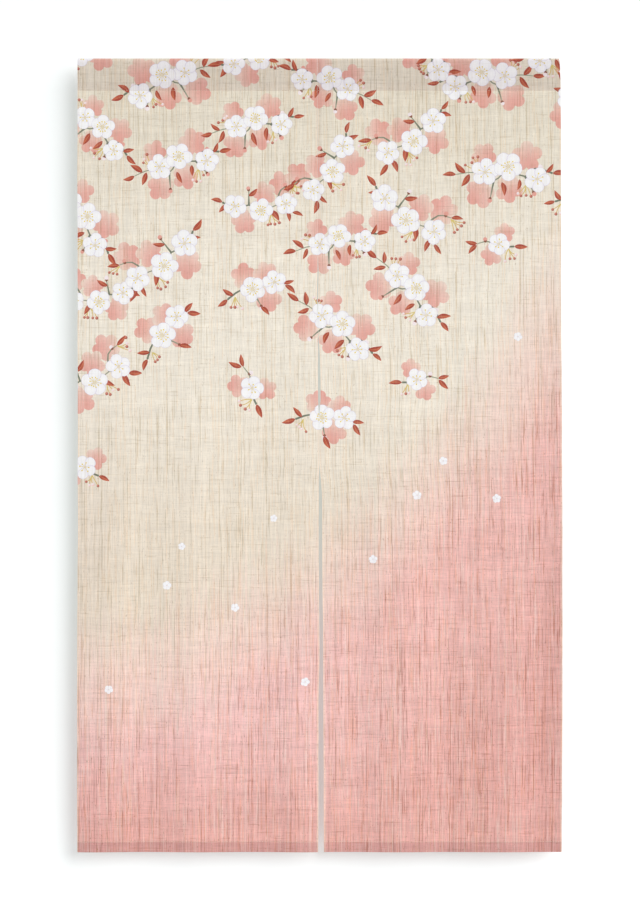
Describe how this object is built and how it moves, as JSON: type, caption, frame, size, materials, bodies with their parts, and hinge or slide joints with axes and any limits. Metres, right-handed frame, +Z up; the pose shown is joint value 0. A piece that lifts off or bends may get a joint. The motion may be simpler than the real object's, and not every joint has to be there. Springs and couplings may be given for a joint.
{
  "type": "noren curtain",
  "caption": "Flat-hanging split door curtain of slubby cloth with an empty rod sleeve along its top edge and a slit up the middle.",
  "frame": {"origin": "middle of the top edge, where the curtain hangs", "axes": "+Z up along the drop, +X along the width to the right seen from the front, the front faces -Y"},
  "size_m": [0.8838, 0.0123, 1.445],
  "materials": {
    "heading_cloth": "two layers of slubby plain-weave hemp in its cream ground colour, matte",
    "panel_cloth": "one layer of slubby plain-weave hemp, dyed from cream at the top to pink at the hem, slightly sheer, matte"
  },
  "bodies": {
    "root": {"heading_left": "heading_cloth", "heading_right": "heading_cloth", "panel_left": "panel_cloth", "panel_right": "panel_cloth"}
  },
  "joints": []
}
